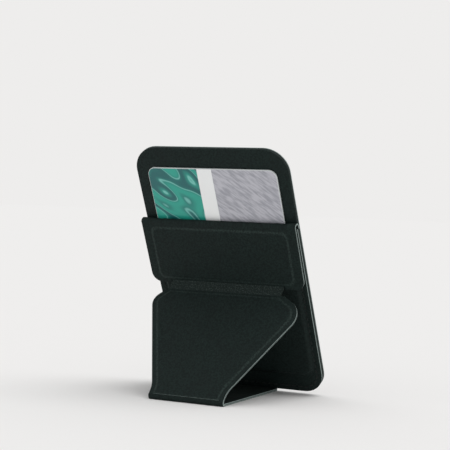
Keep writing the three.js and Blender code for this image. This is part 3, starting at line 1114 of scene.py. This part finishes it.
    def make_card(self) -> None:
        """Makes the card in the pocket."""
        side = self.card_width / 2
        outline = Outline.both_sides(
            Corner(side, self.card_bottom + self.card_height, self.card_room_radius),
            Corner(side, self.card_bottom, self.card_room_radius),
            shift=self.card_shift,
        )
        card = loft(softened(outline, self.card_back, self.card_front, self.card_soften))
        two = (self.finishes.card, self.finishes.card_edge)
        Piece("bank_card", self.holder.pad(), two, "card", "pad", ("card",), PaleFaces.RIM).build(card)

    def build(self) -> None:
        """Builds every piece of the pad."""
        self.make_back_cover()
        self.make_inner_cover()
        self.make_pocket()
        self.make_stitches()
        self.make_card()


@dataclass(frozen=True)
class Panel:
    """The leather of one stiff panel: a flat margin round a field that its board lifts."""

    name: str
    body: str
    node: str
    place: Place
    edge: Outline
    board: Outline
    board_inset: float
    ends: Pair
    lift: float = 0.35
    slope: float = 1.7
    thickness: float = 0.55
    nest: float = 0.15
    board_room: float = 0.5
    board_radius: float = 2.5
    ease: float = 0.3

    def field(self, inset: float) -> Outline:
        """Gives the board's outline, inset from the edges that it follows."""
        return self.board.inset(inset, self.board_radius)

    def build(self, finishes: Finishes) -> None:
        """Builds the panel's leather, with the room for its board behind.

        Args:
            finishes: the holder's materials.
        """
        end = self.board_inset - self.nest
        start, room = end - self.slope, self.field(end)
        leather = loft([
            room.ring(self.board_room - self.thickness),
            room.ring(-self.thickness),
            *softened(self.edge, -self.thickness, 0.0),
            self.field(start - self.ease).ring(0.0),
            *climbed(self.field, (start, end), (0.0, self.lift)),
            self.field(end + self.ease).ring(self.lift),
        ])
        cut(leather, self.ends[0], keep_below=True)
        if self.ends[1] > -math.inf:
            cut(leather, self.ends[1], keep_below=False)
        piece = Piece(self.name, self.place, finishes.cut_leather, "leather", self.body, (self.node,))
        piece.build(leather)


@dataclass(frozen=True)
class Stand:
    """The stand's sheet: upper panel, leg and base, with the folds that join them."""

    holder: Holder
    finishes: Finishes
    pad: Pad
    seam: float = 0.05
    thickness: float = 0.55
    foot_thickness: float = 0.85
    panel_width: float = 65.2
    panel_length: float = 24.9
    panel_lip: float = 0.9
    panel_radius: float = 4.0
    panel_board_inset: float = 5.0
    panel_board_top: float = 3.0
    panel_board_bottom: float = 2.4
    neck_width: float = 47.8
    neck_length: float = 3.9
    hinge_clearance: float = 0.4
    right_shoulder: Corner = Corner(35.15, -10.0, 7.5)
    left_shoulder: Corner = Corner(29.8, -9.0, 5.0)
    foot_width: float = 31.0
    foot_rise: float = 6.3
    foot_edge_radius: float = 10.0
    leg_board_inset: float = 3.2
    leg_board_top: float = 6.2
    leg_board_bottom: float = 1.0
    base_end_width: float = 22.0
    base_end_radius: float = 3.0
    base_reach: float = 0.6
    lining: float = 0.25
    lining_soften: float = 0.08
    base_board_room: float = 2.1
    base_room_front: float = 0.98
    base_margin_front: float = 1.05
    base_field_front: float = 1.24
    base_slope_start: float = 0.3
    base_slope_steps: int = 6
    base_ease: float = 0.4
    overrun: float = 1.0
    panel_overrun: float = 2.0
    spare_corners: Pair = (3.0, 4.0)
    side_drop: float = 0.25
    fold_lead: float = 0.25
    fold_blend: float = 0.75
    fold_faces: tuple[int, int] = (72, 28)
    valley_lead: float = 0.02
    valley_blend: float = 1.0
    valley_faces: tuple[int, int] = (40, 24)
    foot_faces: tuple[int, int] = (30, 24)

    def foot_tangent(self) -> float:
        """Gives the distance from the floor corner to the foot fold's ends."""
        return self.holder.foot_radius / math.tan(self.holder.foot_angle() / 2)

    def leg_end(self) -> float:
        """Gives the distance from the valley fold to the foot fold."""
        return self.holder.leg_length() - self.foot_tangent()

    def notch(self) -> float:
        """Gives the distance from the panel's middle to the end of its lip."""
        return self.neck_width / 2 + self.hinge_clearance

    def leg_outline(self, top: float, bottom: float) -> Outline:
        """Gives the leg's outline between two heights.

        Args:
            top: distance from the valley fold to its upper end.
            bottom: distance from the valley fold to its lower end.

        Returns:
            The outline.
        """
        length = self.holder.leg_length()

        def half(shoulder: Corner) -> tuple[Corner, ...]:
            """Gives one half's corners."""
            return (
                Corner(self.neck_width / 2, -top),
                shoulder,
                Corner(self.foot_width / 2, -length + self.foot_rise, self.foot_edge_radius),
                Corner(self.foot_width / 2, -bottom),
            )

        return Outline.both_sides(*half(self.right_shoulder), left=half(self.left_shoulder))

    def leg_sheet(self) -> Outline:
        """Gives the leg's outline, run on past both of its ends."""
        return self.leg_outline(self.neck_length - self.overrun, self.leg_end() + self.overrun)

    def panel_outline(self) -> Outline:
        """Gives the upper panel's outline, run on past the top fold."""
        side = self.panel_width / 2
        lip = -self.panel_length - self.panel_lip
        return Outline.both_sides(
            Corner(side, self.panel_overrun, SHARP),
            Corner(side, lip, self.panel_radius),
            Corner(self.notch(), lip),
            Corner(self.notch(), -self.panel_length + self.hinge_clearance),
        )

    def make_upper_panel(self) -> None:
        """Makes the upper panel. Its board's outline has spare corners, to have as many as the panel's."""
        side, inset = self.panel_width / 2, self.panel_board_inset
        top = inset - self.panel_board_top
        bottom = -self.panel_length + self.panel_board_bottom - inset
        spare = (Corner(self.notch() - gap, bottom) for gap in self.spare_corners)
        board = Outline.both_sides(Corner(side, top, SHARP), Corner(side, bottom, SHARP), *spare)
        Panel(
            "upper_panel_leather", "upper_panel", "upper_panel_skin", self.holder.panel(),
            self.panel_outline(), board, inset, (0.0, -math.inf),
        ).build(self.finishes)

    def make_leg(self) -> None:
        """Makes the leg."""
        end, inset = self.leg_end(), self.leg_board_inset
        board = self.leg_outline(self.leg_board_top - inset, end - self.leg_board_bottom + inset)
        Panel(
            "leg_leather", "leg", "leg_skin", self.holder.leg(),
            self.leg_sheet(), board, inset, (-self.neck_length, -end),
        ).build(self.finishes)

    def base_outline(self, inset: float) -> Outline:
        """Gives the base's outline, run on past its foot end.

        Args:
            inset: how far inside the base's edge it lies.

        Returns:
            The outline.
        """
        place = self.holder.base()
        end = (self.holder.pad().origin.y - place.origin.y) / MM + self.base_reach
        return Outline.both_sides(
            Corner(self.foot_width / 2, -self.foot_tangent() + self.overrun),
            Corner(self.base_end_width / 2, -end, self.base_end_radius),
        ).inset(inset)

    def make_base(self) -> None:
        """Makes the base, which lies flat on what the holder stands on."""
        leather = loft(softened(self.base_outline(0.0), -self.thickness, 0.0))
        cut(leather, -self.foot_tangent(), keep_below=True)
        two = self.finishes.cut_leather
        Piece("base_leather", self.holder.base(), two, "leather", "base", ("base_skin",)).build(leather)

    def build_lining(self, body: str, place: Place, rings: list[Ring], ends: Sequence[float]) -> None:
        """Builds a panel's lining from rings that are listed as if its inner side were the outer one.

        Args:
            body: the panel's body, whose name the lining's names start with.
            place: the panel's frame.
            rings: its rings, from the leather inwards.
            ends: where it is cut straight, first its upper end and then its lower end, if it has one.
        """
        cloth = loft(rings)
        bmesh.ops.scale(cloth, vec=(1.0, 1.0, -1.0), verts=cloth.verts)
        bmesh.ops.recalc_face_normals(cloth, faces=cloth.faces)
        for height, keep_below in zip(ends, (True, False)):
            cut(cloth, height, keep_below)
        two = (self.finishes.lining, self.finishes.edge)
        Piece(f"{body}_lining_cloth", place, two, "lining", body, (f"{body}_lining",)).build(cloth)

    def make_linings(self) -> None:
        """Lines the upper panel, the leg and the base, where it covers the board and its magnets."""
        leather = self.thickness + self.seam
        front, soften = leather + self.lining, self.lining_soften
        panel = softened(self.panel_outline(), leather, front, soften)
        self.build_lining("upper_panel", self.holder.panel(), panel, (0.0,))
        leg = softened(self.leg_sheet(), leather, front, soften)
        self.build_lining("leg", self.holder.leg(), leg, (-self.neck_length, -self.leg_end()))
        inset, levels = self.base_board_room, (self.base_margin_front, self.base_field_front)
        room, slope = self.base_outline(inset), (self.base_slope_start * inset, inset)
        base = [
            room.ring(self.base_room_front),
            room.ring(leather),
            *softened(self.base_outline(0.0), leather, self.base_margin_front, soften),
            *climbed(self.base_outline, slope, levels, self.base_slope_steps),
            self.base_outline(inset + self.base_ease).ring(self.base_field_front),
        ]
        self.build_lining("base", self.holder.base(), base, (-self.foot_tangent(),))

    def fold_point(self, flat: Vector) -> Vector:
        """Carries a point of the flat strip round the fold over the pocket's mouth.

        Args:
            flat: x across, y from 0 at the pocket to 1 at the upper panel, and z from 0 down to -1.

        Returns:
            The point in the pad's frame.
        """
        pad, holder = self.pad, self.holder
        top = pad.card_room_side + pad.wall_side
        raised = 1 - smooth(top, top + pad.slope, abs(flat.x - pad.card_shift))
        border = (pad.wall_back + pad.border_front) / 2
        cover = (pad.wall_skin_back + pad.wall_front) / 2
        start = border + (cover - border) * raised
        front = holder.fold_out + holder.fold_radius - self.thickness / 2
        middle_back = holder.fold_out - holder.fold_radius + self.thickness / 2
        back = start + (middle_back - start) * (self.side_drop + (1 - self.side_drop) * raised)
        lead = self.fold_lead

        def centre(share: float) -> Vector:
            """Gives a point on the middle of the sheet."""
            if share < lead:
                way = share / lead
                rise = pad.wall_top + (holder.fold_height - pad.wall_top) * way
                return Vector((rise, start + (back - start) * smooth(0, 1, way)))
            angle = math.pi * (share - lead) / (1 - lead)
            half = (front - back) / 2
            height = holder.fold_radius - self.thickness / 2
            out = back + half * (1 - math.cos(angle))
            return Vector((holder.fold_height + height * math.sin(angle), out))

        nudge = 1e-3
        ahead = centre(min(flat.y + nudge, 1.0)) - centre(max(flat.y - nudge, 0.0))
        ahead.normalize()
        normal = Vector((ahead.y, -ahead.x))
        point = centre(flat.y) + normal * self.thickness * (1 / 2 + flat.z)
        return Vector((flat.x, point.x, point.y))

    def make_top_fold(self) -> None:
        """Makes the fold over the pocket's mouth."""
        sheet = strip(self.panel_width, 1.0, *self.fold_faces)
        shape(sheet, self.fold_point)
        holder, place, two = self.holder, self.holder.pad(), self.finishes.cut_leather
        piece = Piece("top_fold_leather", place, two, "leather", "", ("top_fold",), PaleFaces.ENDS)
        fold = piece.build(sheet)
        start = place.at(0.0, holder.fold_height, holder.fold_out - self.fold_blend)
        end = place.at(0.0, holder.fold_height, holder.fold_out + self.fold_blend)
        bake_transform(fold)

    def make_valley(self) -> None:
        """Makes the strip that bends in the valley between the upper panel and the leg."""
        place, panel = self.holder.leg(), self.holder.panel()
        turn = panel.up.angle(place.up)
        lead = self.valley_lead
        radius = (self.hinge_clearance - lead) / math.tan(turn / 2)
        length = lead + radius * turn + self.neck_length - (self.hinge_clearance - lead)
        sheet = strip(self.neck_width, length, *self.valley_faces)
        into_panel, out_of_leg = panel.matrix(), place.matrix().inverted()
        top = -self.panel_length + self.hinge_clearance

        def move(flat: Vector) -> Vector:
            """Bends one point."""
            along, out = bent(flat.y, -flat.z * self.thickness, lead, radius, -turn)
            return out_of_leg @ (into_panel @ Vector((flat.x, top - along, out)))

        shape(sheet, move)
        one = (self.finishes.hinge,)
        valley = Piece("valley_strip", place, one, "hinge_cloth", "", ("neck_hinge",)).build(sheet)
        start, end = panel.at(0.0, top, 0.0), place.at(0.0, -self.valley_blend, 0.0)
        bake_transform(valley)
        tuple(start)
        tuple(end)

    def make_foot(self) -> None:
        """Makes the rounded fold that the leg stands on."""
        place = self.holder.leg()
        turn = math.pi - self.holder.foot_angle()
        radius = self.holder.foot_radius
        top = -self.leg_end()
        sheet = strip(self.foot_width, radius * turn, *self.foot_faces)

        def move(flat: Vector) -> Vector:
            """Bends one point."""
            along, out = bent(flat.y, -flat.z * self.foot_thickness, 0.0, radius, turn)
            return Vector((flat.x, top - along, out))

        shape(sheet, move)
        two = self.finishes.cut_leather
        foot = Piece("foot_leather", place, two, "leather", "", ("foot_fold",), PaleFaces.ENDS).build(sheet)
        start, end = place.at(0.0, top, 0.0), self.holder.base().at(0.0, -self.foot_tangent(), 0.0)
        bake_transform(foot)
        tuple(start)
        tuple(end)

    def build(self) -> None:
        """Builds the whole stand."""
        self.make_upper_panel()
        self.make_leg()
        self.make_base()
        self.make_linings()
        self.make_top_fold()
        self.make_valley()
        self.make_foot()


@dataclass(frozen=True)
class Insides:
    """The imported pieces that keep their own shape."""

    finishes: Finishes

    def build(self) -> None:
        """Gives each of them its finish."""
        finish = {
            "lining": self.finishes.lining,
            "board": self.finishes.board,
            "carrier": self.finishes.board,
            "magnet": self.finishes.magnet,
            "shield": self.finishes.steel,
        }
        for name, node in frame["nodes"].items():
            material = next((finish[word] for word in reversed(name.split("_")) if word in finish), None)
            if material is not None and not node.hide_render:
                node.data.materials.clear()
                node.data.materials.append(material)
                log.info("%s: %s", name, material.name)


@dataclass(frozen=True)
class Studio:
    """A plain pale floor, soft light and the camera."""

    camera_place: tuple[float, float, float] = (0.24266, -0.48091, 0.07090)
    camera_turn: tuple[float, float, float] = (89.4046, -2.2804, 26.9078)
    lens: float = 112.5
    sensor: float = 36.0
    pale: Colour = linear(238, 237, 236)
    floor_size: float = 60.0
    sky: float = 0.72
    near_clip: float = 0.01
    matt: float = 0.9
    lamp_direction: tuple[float, float, float] = (0.45, 0.1, 1.0)
    lamp_spread: float = math.radians(50.0)
    lamp_power: float = 1.0

    def make_camera(self) -> None:
        """Makes the camera."""
        data = bpy.data.cameras.new("camera")
        data.lens, data.sensor_width = self.lens, self.sensor
        data.clip_start = self.near_clip
        camera = placed("camera", data)
        camera.location = self.camera_place
        camera.rotation_euler = Euler([math.radians(angle) for angle in self.camera_turn])
        bpy.context.scene.camera = camera

    def make_floor(self) -> None:
        """Makes the floor."""
        plane = bmesh.new()
        bmesh.ops.create_grid(plane, x_segments=1, y_segments=1, size=self.floor_size / 2)
        mesh = bpy.data.meshes.new("floor")
        plane.to_mesh(mesh)
        plane.free()
        graph = Graph("pale floor", Coordinates.OBJECT)
        mesh.materials.append(graph.dress(self.pale, self.matt, 0.0))
        placed("floor", mesh)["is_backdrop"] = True

    def make_world(self) -> None:
        """Makes the even light from all round, and the background that the camera sees."""
        world = bpy.data.worlds.new("studio")
        world.use_nodes = True
        bpy.context.scene.world = world
        nodes, links = world.node_tree.nodes, world.node_tree.links
        light = nodes["Background"]
        light.inputs["Color"].default_value = (1.0, 1.0, 1.0, 1.0)
        light.inputs["Strength"].default_value = self.sky
        seen = nodes.new("ShaderNodeBackground")
        seen.inputs["Color"].default_value = (*self.pale, 1.0)
        choice = nodes.new("ShaderNodeMixShader")
        path = nodes.new("ShaderNodeLightPath")
        links.new(path.outputs["Is Camera Ray"], choice.inputs[0])
        links.new(light.outputs[0], choice.inputs[1])
        links.new(seen.outputs[0], choice.inputs[2])
        links.new(choice.outputs[0], nodes["World Output"].inputs["Surface"])

    def make_lamp(self) -> None:
        """Makes a broad soft light from one side, the same all over the floor."""
        data = bpy.data.lights.new("soft box", "SUN")
        data.angle, data.energy = self.lamp_spread, self.lamp_power
        lamp = placed("soft box", data)
        lamp.rotation_euler = Vector(self.lamp_direction).to_track_quat("Z", "Y").to_euler()
        lamp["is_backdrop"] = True

    def build(self) -> None:
        """Builds the studio."""
        bpy.context.scene.view_settings.view_transform = "Standard"
        self.make_camera()
        self.make_floor()
        self.make_world()
        self.make_lamp()


def corners(box: tuple[Vector, Vector]) -> list[list[float]]:
    """Turns a box into plain lists of numbers."""
    return [list(corner) for corner in box]


def main() -> None:
    """Builds the studio and the holder, and works out the sizes before and after."""
    logging.basicConfig(level=logging.INFO, format="%(name)s %(message)s")
    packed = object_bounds()
    Studio().build()
    holder, finishes = Holder(), Finishes.made()
    pad = Pad(holder, finishes)
    pad.build()
    Stand(holder, finishes, pad).build()
    Insides(finishes).build()
    {"cad": corners(packed), "visual": corners(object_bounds())}


if __name__ == "__main__":
    main()
